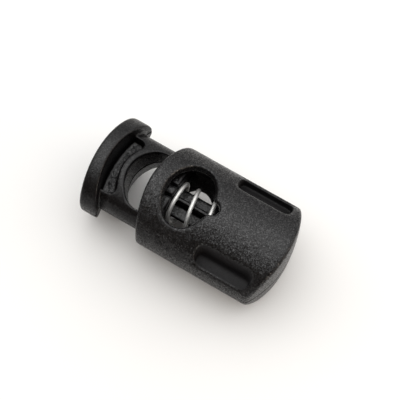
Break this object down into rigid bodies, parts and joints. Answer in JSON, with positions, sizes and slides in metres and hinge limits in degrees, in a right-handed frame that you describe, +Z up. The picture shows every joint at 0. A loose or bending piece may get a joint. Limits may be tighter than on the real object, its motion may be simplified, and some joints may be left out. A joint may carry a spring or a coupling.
{
  "type": "cord lock",
  "caption": "Oval spring-loaded cord lock: a push plunger slides in a closed barrel, and cords run through the oval holes of both until the spring pinches them.",
  "frame": {"origin": "on the surface that the lock lies on, under the middle of its length and width, with the plunger out", "axes": "+X along the axis from the push head to the closed end, +Y across the width, +Z up through the thickness and along the cord hole"},
  "size_m": [0.031, 0.016, 0.013],
  "materials": {
    "moulded_black": "fine spark-eroded grain, satin",
    "spring_steel": "bright drawn wire"
  },
  "bodies": {
    "barrel": {"barrel": "moulded_black", "spring": "spring_steel"},
    "plunger": {"plunger": "moulded_black"}
  },
  "joints": [
    {"name": "plunger_slide", "type": "slide", "parent": "barrel", "child": "plunger", "axis": [1, 0, 0], "range_m": [0, 0.006], "stiffness_N_per_m": 600, "springref_m": -0.006, "deforming": ["spring"]}
  ]
}
